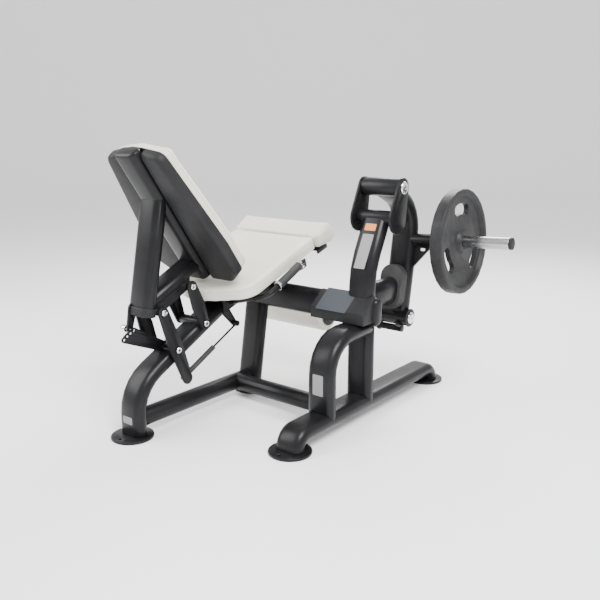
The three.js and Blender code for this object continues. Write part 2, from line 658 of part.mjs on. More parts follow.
function buildHorn() {
  const stopEnd = HORN_STOP.x + HORN_STOP.thick;
  const sleeveEnd = HORN.end - HORN.endRing;
  const gussetPlace = plane(yz(HORN.y, HORN.armZ, armSideX), X_AXIS, armRise);
  const rootX = -FRAME_TUBE.thick / 2;
  const gussetOutline = polygon(
    [
      [rootX, -GUSSET.depth],
      [0, -GUSSET.depth],
      [GUSSET.reach, -GUSSET.tip],
      [GUSSET.reach, 0],
      [rootX, 0],
    ],
  );
  const slot = flatOval(GUSSET.slotLong, 2 * GUSSET.slotRadius);
  const slotPlace = gussetPlace.clone().multiply(
    new THREE.Matrix4().makeTranslation(GUSSET.reach / 2, -HORN.base - 2 * GUSSET.slotRadius, 0));
  const half = GUSSET.thick / 2;
  const gusset = cut(
    prism(gussetOutline, -half, half, gussetPlace),
    prism(slot, -half - OVERRUN, half + OVERRUN, slotPlace),
  );
  const tube = rod(hornAt(STATION_X), hornAt(stopEnd), HORN.base);
  const stop = rod(hornAt(HORN_STOP.x), hornAt(stopEnd), HORN_STOP.radius);
  return [
    node("weight_horn", mainBody(cut(joined(tube, stop, gusset), arm(TOUCH_GAP))), PAINT),
    node(
      "weight_sleeve",
      rod(hornAt(stopEnd + TOUCH_GAP), hornAt(sleeveEnd), HORN.sleeve, FINE_SIDES),
      CHROME,
    ),
    node(
      "horn_end_cap",
      rod(hornAt(sleeveEnd + TOUCH_GAP), hornAt(HORN.end), HORN.sleeve, FINE_SIDES),
      PLASTIC,
    ),
  ];
}

// One grip hole: a slot that follows the plate's circle.
function gripHole(place) {
  const { middle, halfAngle, radius } = PLATE_GRIP;
  const end = (angle) => [middle * Math.cos(angle), middle * Math.sin(angle)];
  const shape = new THREE.Shape();
  shape.absarc(0, 0, middle + radius, -halfAngle, halfAngle);
  shape.absarc(...end(halfAngle), radius, halfAngle, halfAngle + Math.PI);
  shape.absarc(0, 0, middle - radius, halfAngle, -halfAngle, true);
  shape.absarc(...end(-halfAngle), radius, -halfAngle + Math.PI, -halfAngle + 2 * Math.PI);
  return prism(shape, -OVERRUN, PLATE.thick + OVERRUN, place, 4);
}

function buildPlate() {
  const face = hornAt(HORN_STOP.x + HORN_STOP.thick + TOUCH_GAP);
  const dish = (PLATE.thick - PLATE.web) / 2;
  const bevel = dish / 2;
  const rimRoot = PLATE.radius - PLATE.rim;
  const profile = [
    [0, 0], [PLATE.hub, 0], [PLATE.hub + bevel, dish], [rimRoot - bevel, dish], [rimRoot, 0], [
      PLATE.radius - bevel / 2,
      0,
    ],
    [PLATE.radius, bevel / 2], [
      PLATE.radius,
      PLATE.thick - bevel / 2,
    ], [PLATE.radius - bevel / 2, PLATE.thick],
    [rimRoot, PLATE.thick], [rimRoot - bevel, PLATE.thick - dish], [PLATE.hub + bevel, PLATE.thick - dish],
    [PLATE.hub, PLATE.thick], [0, PLATE.thick],
  ];
  const disc = turned(profile, face, hornAxis, FINE_SIDES);
  const bore = rod(
    face.clone().addScaledVector(hornAxis, -1),
    face.clone().addScaledVector(hornAxis, PLATE.thick + OVERRUN),
    HORN.sleeve + RUNNING_GAP, FINE_SIDES);
  const place = plane(face, Y_AXIS, new THREE.Vector3().crossVectors(hornAxis, Y_AXIS));
  const holes = Array.from({ length: PLATE_GRIP.count }, (_, i) => {
    const turn = new THREE.Matrix4().makeRotationZ(Math.PI / 2 + (2 * Math.PI * i) / PLATE_GRIP.count);
    return gripHole(place.clone().multiply(turn));
  });
  return [node("weight_plate", cut(disc, bore, ...holes), IRON)];
}

// ---------- Roller and its carriage ----------
const ROLLER_AXIS = { y: LOWER_HUB.y, z: LOWER_HUB.z - ROLLER_BAR.drop };
const rollerSpan = ROLLER.halfLength + ROLLER_FLANGE.thick + TOUCH_GAP;

// The saddle that wraps the underside of the lower hub without touching it.
function hubEar() {
  const inner = LOWER_HUB.radius + EAR.gap;
  const outline = new THREE.Shape();
  const down = -Math.PI / 2;
  outline.absarc(LOWER_HUB.y, LOWER_HUB.z, inner + EAR.wall, down - EAR.reach, down + EAR.reach);
  outline.absarc(LOWER_HUB.y, LOWER_HUB.z, inner, down + EAR.reach, down - EAR.reach, true);
  return slab(outline, EAR.left, EAR.left + EAR.thick);
}

function buildCarriage() {
  const shaftEnd = LOWER_HUB.right + 2 * TOUCH_GAP;
  const cheekEnd = CHEEK.left + CHEEK.thick;
  const collarEnd = rollerSpan + BAR_CAP.thick;
  const cheek = discPlate([
    { ...LOWER_HUB, r: CHEEK.hubRadius },
    { ...ROLLER_AXIS, r: CHEEK.barRadius },
  ], CHEEK.left, cheekEnd);
  const carriage = joined(
    cheek,
    crossRod(CHEEK.left, shaftEnd, LOWER_HUB, SHAFT_RADIUS),
    crossRod(-collarEnd, ROLLER_BAR.right, ROLLER_AXIS, ROLLER_BAR.radius),
    crossRod(rollerSpan, collarEnd, ROLLER_AXIS, BAR_CAP.radius),
    crossRod(-collarEnd, -rollerSpan, ROLLER_AXIS, BAR_CAP.radius),
    hubEar(),
  );
  return [
    node("roller_carriage", carriage, PAINT),
    node("lower_hub_cap", pivotCap(shaftEnd + TOUCH_GAP, 1, LOWER_HUB), CHROME),
  ];
}

function buildRoller() {
  const bore = ROLLER_BAR.radius + RUNNING_GAP;
  const coreRadius = bore + ROLLER.coreWall;
  const { halfLength, radius, edge } = ROLLER;
  const flangeEnd = halfLength + ROLLER_FLANGE.thick;
  const flange = (side) => {
    const [x0, x1] = [side * (halfLength + TOUCH_GAP), side * flangeEnd].sort((a, b) => a - b);
    return crossRod(x0, x1, ROLLER_AXIS, ROLLER_FLANGE.radius);
  };
  const core = joined(crossRod(-flangeEnd, flangeEnd, ROLLER_AXIS, coreRadius), flange(-1), flange(1));
  const round = [0, 30, 60, 90].map((a) => [Math.sin(a * DEG), 1 - Math.cos(a * DEG)]);
  const profile = [
    [0, -halfLength],
    ...round.map(([out, up]) => [radius - edge + edge * out, -halfLength + edge * up]),
    ...round.reverse().map(([out, up]) => [radius - edge + edge * out, halfLength - edge * up]),
    [0, halfLength],
  ];
  const foam = turned(profile, yz(ROLLER_AXIS.y, ROLLER_AXIS.z), X_AXIS, FINE_SIDES);
  return [
    node(
      "roller_core",
      cut(core, crossRod(-flangeEnd - OVERRUN, flangeEnd + OVERRUN, ROLLER_AXIS, bore)),
      PLASTIC,
    ),
    node("roller_pad",
      cut(foam, crossRod(-halfLength - OVERRUN, halfLength + OVERRUN, ROLLER_AXIS, coreRadius + TOUCH_GAP)), IVORY),
  ];
}

// ---------- Seat ----------
// Seat frame: s runs forward up the slope and n is square to it, from the cushion's underside.
const seatForward = yz(Math.cos(SEAT.pitch), Math.sin(SEAT.pitch));
const seatNormal = yz(-Math.sin(SEAT.pitch), Math.cos(SEAT.pitch));
const seatOrigin = yz(SEAT.y, SEAT.z);
const seatPlan = plane(seatOrigin, X_AXIS, seatForward);
const seatSide = plane(seatOrigin, seatForward, seatNormal);
const boardBottom = -TOUCH_GAP - SEAT_BOARD.thick;
const seatPoint = (x, s, n) => new THREE.Vector3(s, n, x).applyMatrix4(seatSide);
const underSeatZ = (y, n) => SEAT.z + (y - SEAT.y) * Math.tan(SEAT.pitch) + n / Math.cos(SEAT.pitch);

// The seat's plan: straight in front, tapering sides and a bowed rear edge.
function seatOutline(inset) {
  const { halfFront, frontS, edge } = SEAT;
  const { cornerS, halfWide, middleS, cornerRadius, middleRadius } = SEAT_REAR;
  return roundedOutline([
    [halfFront - inset, frontS - inset, edge],
    [inset - halfFront, frontS - inset, edge],
    [inset - halfWide, cornerS + inset / 2, cornerRadius],
    [0, middleS + inset, middleRadius],
    [halfWide - inset, cornerS + inset / 2, cornerRadius],
  ]);
}

function buildSeat() {
  const { frontS, thick, edge } = SEAT;
  const { gap, halfWide, rearTop, noseLow, nose, crown } = BOLSTER;
  const noseOutline = roundedOutline([
    [frontS + gap, 1, 6], [noseLow.s, noseLow.n, 12], [nose.s, nose.n, 24], [crown.s, crown.n, 24],
    [frontS + gap, rearTop, 10],
  ]);
  return [
    node("seat_cushion", pad(seatOutline(0), 0, thick, edge / 2, edge, seatPlan), IVORY),
    node(
      "seat_board",
      prism(outlineOf(seatOutline(SEAT_BOARD.inset)), boardBottom, -TOUCH_GAP, seatPlan),
      BOARD,
    ),
    node(
      "front_bolster",
      pad(noseOutline, -halfWide, halfWide, BOLSTER.edge, BOLSTER.edge, seatSide),
      IVORY,
    ),
    node("seat_saddle", seatSaddle(), PAINT),
  ];
}

// A strap from under the seat to a cross plate that carries the bolster.
function bolsterBracket() {
  const { halfWide, thick, low, rearS, crossS, frontS, half, lip } = BOLSTER_BRACKET;
  const plate = (s0, s1, n0, n1) => polygon([[s0, n0], [s1, n0], [s1, n1], [s0, n1]]);
  const strap = prism(plate(rearS, frontS, low, low + thick), -half, half, seatSide);
  const cross = prism(plate(crossS, frontS, low, low + thick), -halfWide, halfWide, seatSide);
  const lips = [-halfWide, halfWide - thick].map((x) =>
    prism(plate(crossS, frontS, low - lip, low + thick), x, x + thick, seatSide));
  return joined(strap, cross, ...lips);
}

// Two plates beside the sloping tube and a top between them, which carry the seat board.
function seatSaddle() {
  const { thick, rearY, frontY, footZ, below } = SADDLE;
  const topN = boardBottom - TOUCH_GAP;
  const top = (n) => [[frontY, underSeatZ(frontY, n)], [rearY, underSeatZ(rearY, n)]];
  const side = polygon([
    [rearY, rearTubeZ(rearY) - below], [BEAM.y - FRAME_TUBE.thick, footZ], [frontY, footZ], ...top(topN),
  ]);
  const lid = polygon([...top(topN - thick).reverse(), ...top(topN)]);
  const inner = FRAME_TUBE.wide / 2 + TOUCH_GAP;
  const outer = inner + thick;
  const body = joined(slab(side, -outer, -inner), slab(side, inner, outer), slab(lid, -outer, outer));
  return mainBody(cut(joined(body, bolsterBracket()), rearTube(TOUCH_GAP), beam(TOUCH_GAP)));
}

// ---------- Side handles ----------
function buildHandle(name, side) {
  const mirrored = (point) => point.setX(side * point.x);
  const rear = mirrored(yz(GRIP.rearY, GRIP.rearZ, HANDLE.x));
  const front = mirrored(yz(GRIP.frontY, GRIP.frontZ, HANDLE.x));
  const along = front.clone().sub(rear).normalize();
  const corner = rear.clone().addScaledVector(along, -HANDLE.tail);
  const nose = front.clone().addScaledVector(along, HANDLE.nose);
  const root = mirrored(yz(corner.y, HANDLE_ROOT.z, HANDLE_ROOT.x));
  const tube = roundTube(
    HANDLE.tube,
    [{ at: root }, { at: corner, radius: HANDLE.bend }, { at: nose }],
    Y_AXIS,
  );
  const inSeat = nose.clone().sub(seatOrigin);
  const [s, n] = [inSeat.dot(seatForward), inSeat.dot(seatNormal)];
  const stripN = boardBottom - TOUCH_GAP - HANDLE_STRIP.thick / 2;
  const strip = sweep(outlineOf(rectangle(HANDLE_STRIP.wide, HANDLE_STRIP.thick)), [
    { at: seatPoint(side * HANDLE.x, s, n + HANDLE_STRIP.above) },
    { at: seatPoint(side * HANDLE.x, s, stripN), radius: HANDLE_STRIP.bend },
    { at: seatPoint(side * HANDLE_STRIP.endX, s, stripN) },
  ], seatForward);
  const grip = cut(
    rod(rear, front, GRIP.radius),
    rod(rear.clone().addScaledVector(along, -OVERRUN), front.clone().addScaledVector(along, 1), HANDLE.tube + 2 * TOUCH_GAP));
  return [node(`handle_${name}`, joined(tube, strip), PAINT), node(`handle_grip_${name}`, grip, RUBBER)];
}

const rectangle = (wide, thick) =>
  [[-1, -1], [1, -1], [1, 1], [-1, 1]].map(
    ([u, v]) => new THREE.Vector3((u * wide) / 2, (v * thick) / 2, 0),
  );

// ---------- Backrest ----------
// Back frame: s runs down the backrest and n points forward, from the shell's front rim.
const backDown = yz(Math.sin(BACK.lean), -Math.cos(BACK.lean));
const backForward = yz(Math.cos(BACK.lean), Math.sin(BACK.lean));
const backOrigin = yz(BACK.y, BACK.z);
const backPlan = plane(backOrigin, X_AXIS, backDown);
const tubePoint = (s) => backOrigin.clone().addScaledVector(backDown, s).addScaledVector(
  backForward,
  -BACK_AXIS.behind,
);

const backTube = domedBar(
  BACK_TUBE,
  tubePoint(BACK_AXIS.top),
  tubePoint(BACK_AXIS.bottom),
  X_AXIS,
  END_CAP.dome,
);
const postFoot = yz(POST.footY, POST.footZ);
const postAlong = tubePoint(POST.jointS).sub(postFoot).normalize();
const post = ovalTube(BACK_TUBE, [{ at: postFoot }, { at: tubePoint(POST.jointS) }]);
const brace = ovalTube(BRACE_TUBE, [{ at: yz(BRACE.footY, BRACE.footZ) }, { at: tubePoint(BRACE.jointS) }]);
const COLLAR_SIZE = {
  wide: BACK_TUBE.wide + 2 * POST_COLLAR.proud,
  thick: BACK_TUBE.thick + 2 * POST_COLLAR.proud,
};

// The moulded cap on the post's lower end; grown, it also reaches up over the joint with the post.
function postCollar(grow = 0) {
  const size = { wide: COLLAR_SIZE.wide + 2 * grow, thick: COLLAR_SIZE.thick + 2 * grow };
  const out = postAlong.clone().negate();
  const start = postFoot.clone().addScaledVector(out, TOUCH_GAP - 4 * grow);
  return solidOf(new ConvexGeometry(
    ovalCapPoints(size, start, X_AXIS, out, POST_COLLAR.thick + 4 * grow, END_CAP.dome / 2 + grow)));
}

function buildBackrest() {
  const { arch, top, low, corner, bottom } = BACK_STATIONS;
  const outline = roundedOutline([
    [BACK_WIDTHS.top, top, 40], [BACK_WIDTHS.low, low, 80], [BACK_WIDTHS.corner, corner, 30],
    [BACK_WIDTHS.bottom, bottom, 30], [-BACK_WIDTHS.bottom, bottom, 30], [-BACK_WIDTHS.corner, corner, 30],
    [-BACK_WIDTHS.low, low, 80], [-BACK_WIDTHS.top, top, 40], [0, arch, 260],
  ]);
  const shell = pad(outline, -SHELL.deep, 0, SHELL.inset, 0, backPlan);
  const channelFloor = -BACK_AXIS.behind + BACK_TUBE.thick / 2 + TOUCH_GAP;
  const channel = prism(
    outlineOf([[-1, -1], [1, -1], [1, 1], [-1, 1]].map(([u, v]) =>
      new THREE.Vector3(u * SHELL.channelHalf, v * bottom * 2, 0))),
    -2 * SHELL.deep, channelFloor, backPlan);
  return [
    node("back_shell", cut(shell, channel), PLASTIC),
    node("back_cushion",
      pad(insetOutline(outline, 3), TOUCH_GAP, BACK.cushion, BACK.edge / 3, BACK.edge, backPlan), IVORY),
    node("back_tube", backTube(), PAINT),
    node("back_post", mainBody(cut(post(), backTube(TOUCH_GAP))), PAINT),
    node(
      "back_brace",
      mainBody(cut(brace(), post(TOUCH_GAP), backTube(TOUCH_GAP), postCollar(TOUCH_GAP))),
      PAINT,
    ),
    node("post_end_cap", postCollar(), PLASTIC),
  ];
}

// ---------- Backrest linkage ----------
const PIVOTS = [REAR_PIVOT, FRONT_PIVOT];
function pivotRoom(pivot) {
  return crossRod(-FRAME_TUBE.wide, FRAME_TUBE.wide, pivot, pivot.sleeve + TOUCH_GAP);
}
const sleeveHalf = LINK.inner - 1.5;
const linkEnd = LINK.inner + LINK.thick;
const linkTop = ({ y, z }) => ({ y: y - LINK.back, z: z + LINK.rise });
const linkLength = Math.hypot(LINK.back, LINK.rise);
const linkTail = {
  y: REAR_PIVOT.y + (LINK.back * LINK.tail) / linkLength,
  z: REAR_PIVOT.z - (LINK.rise * LINK.tail) / linkLength,
};
const middleOf = (a, b) => ({ y: (a.y + b.y) / 2, z: (a.z + b.z) / 2 });

// A leaf-shaped link plate between two points on one side of the frame.
function linkPlate(side, from, to) {
  const discs = [
    { ...from, r: LINK.endRadius },
    { ...middleOf(from, to), r: LINK.midRadius },
    { ...to, r: LINK.endRadius },
  ];
  const [x0, x1] = [side * LINK.inner, side * linkEnd].sort((a, b) => a - b);
  return discPlate(discs, x0, x1);
}

// A bolt through both links with a button head at each end.
function pivotBolt(at) {
  const { radius, head, headThick } = PIVOT_BOLT;
  const near = linkEnd + TOUCH_GAP;
  const far = near + headThick;
  return joined(
    crossRod(-far, far, at, radius),
    crossRod(near, far, at, head),
    crossRod(-far, -near, at, head));
}

// Both plates of one link pair with the axle that they share.
function linkPair(pivot, tail) {
  const top = linkTop(pivot);
  const { head, headThick, radius } = PIVOT_BOLT;
  const far = linkEnd + headThick;
  const topRoom = crossRod(-far - OVERRUN, far + OVERRUN, top, radius + RUNNING_GAP);
  return cut(joined(
    linkPlate(1, tail, top),
    linkPlate(-1, pivot, top),
    crossRod(-far, far, pivot, radius),
    crossRod(linkEnd - OVERRUN, far, pivot, head),
    crossRod(-far, 1 - linkEnd, pivot, head)), topRoom);
}

// The sloping tube with the two sleeves welded across it that the links' axles turn in.
function rearTubeWithSleeves() {
  const sleeves = PIVOTS.map((pivot) => crossRod(-sleeveHalf, sleeveHalf, pivot, pivot.sleeve));
  const bores = PIVOTS.map((pivot) =>
    crossRod(-sleeveHalf - OVERRUN, sleeveHalf + OVERRUN, pivot, PIVOT_BOLT.radius + RUNNING_GAP));
  return cut(joined(rearTube(), ...sleeves), ...bores);
}

// The rail under the brace that holds the links' upper bolts.
function pivotRail() {
  const tops = PIVOTS.map(linkTop);
  const raised = tops.map(({ y, z }) => ({ y, z: z + 2 * RAIL.radius, r: RAIL.radius }));
  const bulk = discPlate(
    [...tops.map((top) => ({ ...top, r: RAIL.radius })), ...raised],
    -RAIL.halfWide,
    RAIL.halfWide,
  );
  const bores = tops.map((top) =>
    crossRod(-RAIL.halfWide - OVERRUN, RAIL.halfWide + OVERRUN, top, PIVOT_BOLT.radius + TOUCH_GAP));
  return mainBody(cut(bulk, ...bores, brace(TOUCH_GAP), post(TOUCH_GAP), postCollar(TOUCH_GAP)));
}

// Where the pin stands when the links have swung back by an angle.
function pinPlace(angle) {
  const turn = (y, z) => yz(
    y * Math.cos(angle) - z * Math.sin(angle),
    y * Math.sin(angle) + z * Math.cos(angle),
  );
  const moved = turn(-LINK.back, LINK.rise);
  return { y: SELECTOR.y + LINK.back + moved.y, z: SELECTOR.z - LINK.rise + moved.z };
}

// The plate with a row of holes, fixed to the frame, that the pull pin locks the backrest to.
function selectorPlate() {
  const x1 = SELECTOR.left + SELECTOR.thick;
  const places = Array.from(
    { length: SELECTOR.holes },
    (_, i) => pinPlace((SWING * i) / (SELECTOR.holes - 1)),
  );
  const rim = SELECTOR.hole + SELECTOR.margin;
  const plate = discPlate(
    [...places.map((at) => ({ ...at, r: rim })), { ...REAR_PIVOT, r: SELECTOR.root }], SELECTOR.left, x1);
  const holes = places.map((at) => crossRod(SELECTOR.left - OVERRUN, x1 + OVERRUN, at, SELECTOR.hole));
  return mainBody(cut(plate, ...holes, pivotRoom(REAR_PIVOT), rearTube(TOUCH_GAP)));
}

function buildPin() {
  const at = pinPlace(0);
  const eye = { ...at, r: PIN_BRACKET.eyeRadius };
  const foot = { y: PIN_BRACKET.footY, z: PIN_BRACKET.footZ, r: PIN_BRACKET.footRadius };
  const bracketEnd = PIN_BRACKET.left + PIN_BRACKET.thick;
  const bracket = cut(
    discPlate([eye, foot], PIN_BRACKET.left, bracketEnd),
    post(TOUCH_GAP), postCollar(TOUCH_GAP),
    crossRod(PIN_BRACKET.left - OVERRUN, bracketEnd + OVERRUN, at, PIN.radius + RUNNING_GAP));
  const tip = SELECTOR.left - PIN.tipGap;
  const knobAt = tip - PIN.length;
  const pin = joined(
    crossRod(knobAt - OVERRUN, tip, at, PIN.radius),
    crossRod(knobAt - PIN.knobLength, knobAt, at, PIN.knobRadius));
  return { bracket: node("pin_bracket", mainBody(bracket), PAINT), pin: node("pull_pin", pin, CHROME) };
}

// ---------- Gas spring ----------
const gasStart = yz(linkTail.y, linkTail.z, GAS.x);
const gasEnd = yz(GAS_ANCHOR.y, GAS_ANCHOR.z, GAS.x);
const gasAlong = gasEnd.clone().sub(gasStart).normalize();
const gasAt = (length) => gasStart.clone().addScaledVector(gasAlong, length);

function buildGasSpring() {
  const [x0, x1] = [GAS.x - GAS.eyeWide / 2, GAS.x + GAS.eyeWide / 2];
  const cylinder = cut(
    joined(
      rod(gasAt(GAS.eye / 2), gasAt(GAS.cylinderLength), GAS.cylinder),
      crossRod(x0, x1, linkTail, GAS.eye),
    ),
    rod(gasAt(GAS.eye + GAS.endWall), gasAt(GAS.cylinderLength + OVERRUN), GAS.rod + RUNNING_GAP),
    crossRod(x0 - OVERRUN, x1 + OVERRUN, linkTail, GAS_STUD + RUNNING_GAP));
  const distance = gasStart.distanceTo(gasEnd);
  const rodBody = cut(
    joined(
      rod(gasAt(GAS.cylinderLength - GAS.inserted), gasAt(distance - GAS.eye + OVERRUN), GAS.rod),
      crossRod(x0, x1, GAS_ANCHOR, GAS.eye)),
    crossRod(x0 - OVERRUN, x1 + OVERRUN, GAS_ANCHOR, GAS_STUD + OPEN_PIVOT_GAP));
  return { cylinder: node("gas_cylinder", cylinder, RUBBER), rod: node("gas_rod", rodBody, STEEL) };
}

// The hook under the sloping tube that holds the gas spring's front end.
function gasBracket() {
  const { left, thick, rootY, rootDrop, rootRadius, tipRadius } = GAS_BRACKET;
  const root = { y: rootY, z: rearTubeZ(rootY) - rootDrop, r: rootRadius };
  const plate = discPlate([root, { ...GAS_ANCHOR, r: tipRadius }], left, left + thick);
  const stud = crossRod(left, GAS_ANCHOR.studEnd, GAS_ANCHOR, GAS_STUD);
  return mainBody(cut(joined(plate, stud), rearTube(TOUCH_GAP)));
}

// ---------- Machine ----------
function group(name, ...nodes) {
  const body = new THREE.Group();
  body.name = name;
  body.add(...nodes);
  return body;
}

const pinParts = buildPin();
const gasSpring = buildGasSpring();
const tailStud = crossRod(GAS.x - GAS.eyeWide, linkEnd - OVERRUN, linkTail, GAS_STUD);
const machine = new THREE.Group();
machine.add(
  group("frame",
    ...buildBase(), ...buildTower(), ...buildSeat(), ...buildHandle("right", 1), ...buildHandle("left", -1),
    node("selector_plate", selectorPlate(), PAINT), node("gas_bracket", gasBracket(), PAINT)),
  group("arm", ...buildArm()),
  group("plate", ...buildPlate()),
  group("carriage", ...buildCarriage()),
  group("roller", ...buildRoller()),
  group("rear_link_body", node("rear_link", joined(linkPair(REAR_PIVOT, linkTail), tailStud), PAINT)),
  group("front_link_body", node("front_link", linkPair(FRONT_PIVOT, FRONT_PIVOT), PAINT)),
  group("backrest",
    ...buildBackrest(), node("pivot_rail", pivotRail(), PAINT), pinParts.bracket,
    node("rear_top_bolt", pivotBolt(linkTop(REAR_PIVOT)), CHROME),
    node("front_top_bolt", pivotBolt(linkTop(FRONT_PIVOT)), CHROME)),
  group("pin", pinParts.pin),
  group("gas_cylinder_body", gasSpring.cylinder),
  group("gas_rod_body", gasSpring.rod),
);

export default machine;
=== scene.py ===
import json
import math

import bmesh
import bpy
import numpy as np
from mathutils import Euler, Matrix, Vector
from mathutils.bvhtree import BVHTree


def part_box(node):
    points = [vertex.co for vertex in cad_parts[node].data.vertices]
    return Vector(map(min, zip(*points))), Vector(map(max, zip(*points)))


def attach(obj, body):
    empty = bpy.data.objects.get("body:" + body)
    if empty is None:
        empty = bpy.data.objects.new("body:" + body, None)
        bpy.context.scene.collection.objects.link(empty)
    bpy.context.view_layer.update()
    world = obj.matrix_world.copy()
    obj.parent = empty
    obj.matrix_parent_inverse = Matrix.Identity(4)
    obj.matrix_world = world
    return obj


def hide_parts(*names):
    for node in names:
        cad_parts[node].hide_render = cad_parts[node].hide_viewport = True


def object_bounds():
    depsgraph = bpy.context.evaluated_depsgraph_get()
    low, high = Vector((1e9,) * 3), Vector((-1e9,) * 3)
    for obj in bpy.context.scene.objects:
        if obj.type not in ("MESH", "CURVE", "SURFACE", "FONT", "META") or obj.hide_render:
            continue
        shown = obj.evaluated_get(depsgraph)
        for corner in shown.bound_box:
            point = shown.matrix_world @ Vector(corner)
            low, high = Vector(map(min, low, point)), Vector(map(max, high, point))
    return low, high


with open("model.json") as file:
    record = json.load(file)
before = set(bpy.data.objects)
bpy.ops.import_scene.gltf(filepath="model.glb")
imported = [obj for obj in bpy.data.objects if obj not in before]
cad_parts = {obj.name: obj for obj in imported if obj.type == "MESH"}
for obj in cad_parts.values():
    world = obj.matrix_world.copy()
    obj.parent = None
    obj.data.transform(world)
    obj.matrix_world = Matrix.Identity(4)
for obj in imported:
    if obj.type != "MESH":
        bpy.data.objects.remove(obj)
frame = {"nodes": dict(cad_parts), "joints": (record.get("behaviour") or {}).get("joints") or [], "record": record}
cad_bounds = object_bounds()

# ---------------------------------------------------------------- sizes, in metres and degrees
CAMERA_AT = Vector((2.152, -1.654, 1.182))
CAMERA_AZIMUTH = 38.23
CAMERA_PITCH = 13.31
LENS = 42.6
SENSOR = 36.0

FLOOR_HALF = 14.0
BACKDROP_HEIGHT = 7.0
BACKDROP_BEND = 3.0
BACKDROP_STEPS = 16

SMOOTH_ANGLE = math.radians(34)
FLAT_ANGLE = math.radians(0.4)
EDGE_BEVEL = 0.0011
WELD = 0.00002

VOXEL = 0.006
PAD_INSET = 0.0025
# The backrest shell passes close over the seat, so the seat cover stays inside the CAD pad.
SEAT_SWELL = PAD_INSET
BACK_SWELL = 0.006
BOLSTER_SWELL = 0.003
ROLLER_SWELL = 0.0
SOFTEN_STEPS = 4
SEAT_SEAM_SHARE = 0.3
BACK_SEAM_SHARE = 0.35
BOLSTER_SEAM_INSET = 0.014
ROLLER_SEAM_INSET = 0.012
CLOTH_PRESSURE = 4.0
CLOTH_FRAMES = 14
BASE_SOFTEN = 0.018
SEAM_HALF = 0.0035
SEAM_DEPTH = 0.0016
PIPING = 0.0021

COLLAR_LONG = 0.012
COLLAR_PROUD = 0.0016
COLLAR_SIDES = 40

PANEL_THICK = 0.0006
PANEL_CORNER = 0.004
PANEL_LIFT = 0.0001
PANEL_CORNER_STEPS = 4
RAY_START = 1.0  # how far outside the machine a line that looks for a surface starts

TOWER_LABEL = (0.052, 0.150)
TOWER_LABEL_AT = 0.62  # share of the tube's height
TOWER_HEADER = (0.052, 0.030)
TOWER_HEADER_ABOVE = 0.094
ARCH_LABEL = (0.050, 0.085)
ARCH_LABEL_AT = 0.42
REAR_LABEL = (0.054, 0.030)
REAR_LABEL_ABOVE = 0.065
CONSOLE_FACE_SIZE = (0.150, 0.120)
CONSOLE_FACE_LEFT = 0.03

GRIPS = ("handle_grip_right", "handle_grip_left")
SOFT = ("seat_cushion", "front_bolster", "back_cushion", "roller_pad")

PAINT_SPECULAR = 0.2

HEAD_RADIUS = 0.0125
HEAD_THICK = 0.005
HEAD_SOFT = 0.0018
SOCKET_ACROSS = 0.0105
SOCKET_THICK = 0.0008
SOCKET_SIDES = 6

X_AXIS = Vector((1, 0, 0))
Y_AXIS = Vector((0, 1, 0))
Z_AXIS = Vector((0, 0, 1))


# ---------------------------------------------------------------- materials
class Graph:
    """A material's node tree, with short calls for the nodes that the finishes share."""

    def __init__(self, name, colour, roughness, metallic=0.0):
        self.material = bpy.data.materials.new(name)
        self.material.use_nodes = True
        self.nodes = self.material.node_tree.nodes
        self.links = self.material.node_tree.links
        self.shader = self.nodes["Principled BSDF"]
        self.shader.inputs["Base Color"].default_value = (*colour, 1)
        self.shader.inputs["Roughness"].default_value = roughness
        self.shader.inputs["Metallic"].default_value = metallic
        self.place = self.nodes.new("ShaderNodeTexCoord").outputs["Object"]

    def scaled(self, scale):
        mapping = self.nodes.new("ShaderNodeMapping")
        mapping.inputs["Scale"].default_value = scale
        self.links.new(self.place, mapping.inputs["Vector"])
        return mapping.outputs["Vector"]

    def noise(self, scale, detail=3.0, stretch=None):
        noise = self.nodes.new("ShaderNodeTexNoise")
        noise.inputs["Scale"].default_value = scale
        noise.inputs["Detail"].default_value = detail
        self.links.new(self.scaled(stretch) if stretch else self.place, noise.inputs["Vector"])
        return noise.outputs["Fac"]

    def cells(self, scale):
        cells = self.nodes.new("ShaderNodeTexVoronoi")
        cells.feature = "DISTANCE_TO_EDGE"
        cells.inputs["Scale"].default_value = scale
        self.links.new(self.place, cells.inputs["Vector"])
        return cells.outputs["Distance"]

    def tint(self, value, low, high):
        ramp = self.nodes.new("ShaderNodeValToRGB")
        ramp.color_ramp.elements[0].color = (*low, 1)
        ramp.color_ramp.elements[1].color = (*high, 1)
        ramp.color_ramp.elements[0].position = 0.3
        ramp.color_ramp.elements[1].position = 0.7
        self.links.new(value, ramp.inputs["Fac"])
        self.links.new(ramp.outputs["Color"], self.shader.inputs["Base Color"])

    def gloss(self, value, low, high):
        spread = self.nodes.new("ShaderNodeMapRange")
        spread.inputs["To Min"].default_value = low
        spread.inputs["To Max"].default_value = high
        self.links.new(value, spread.inputs["Value"])
        self.links.new(spread.outputs["Result"], self.shader.inputs["Roughness"])

    def raised(self, value, strength, depth):
        bump = self.nodes.new("ShaderNodeBump")
        bump.inputs["Strength"].default_value = strength
        bump.inputs["Distance"].default_value = depth
        self.links.new(value, bump.inputs["Height"])
        self.links.new(bump.outputs["Normal"], self.shader.inputs["Normal"])


def powder_coat():
    graph = Graph("powder_coat", (0.007, 0.007, 0.008), 0.34)
    graph.tint(graph.noise(7), (0.005, 0.005, 0.006), (0.010, 0.010, 0.011))
    graph.gloss(graph.noise(24), 0.27, 0.38)
    graph.shader.inputs["Specular IOR Level"].default_value = PAINT_SPECULAR
    graph.raised(graph.noise(850), 0.16, 0.0003)
    return graph.material


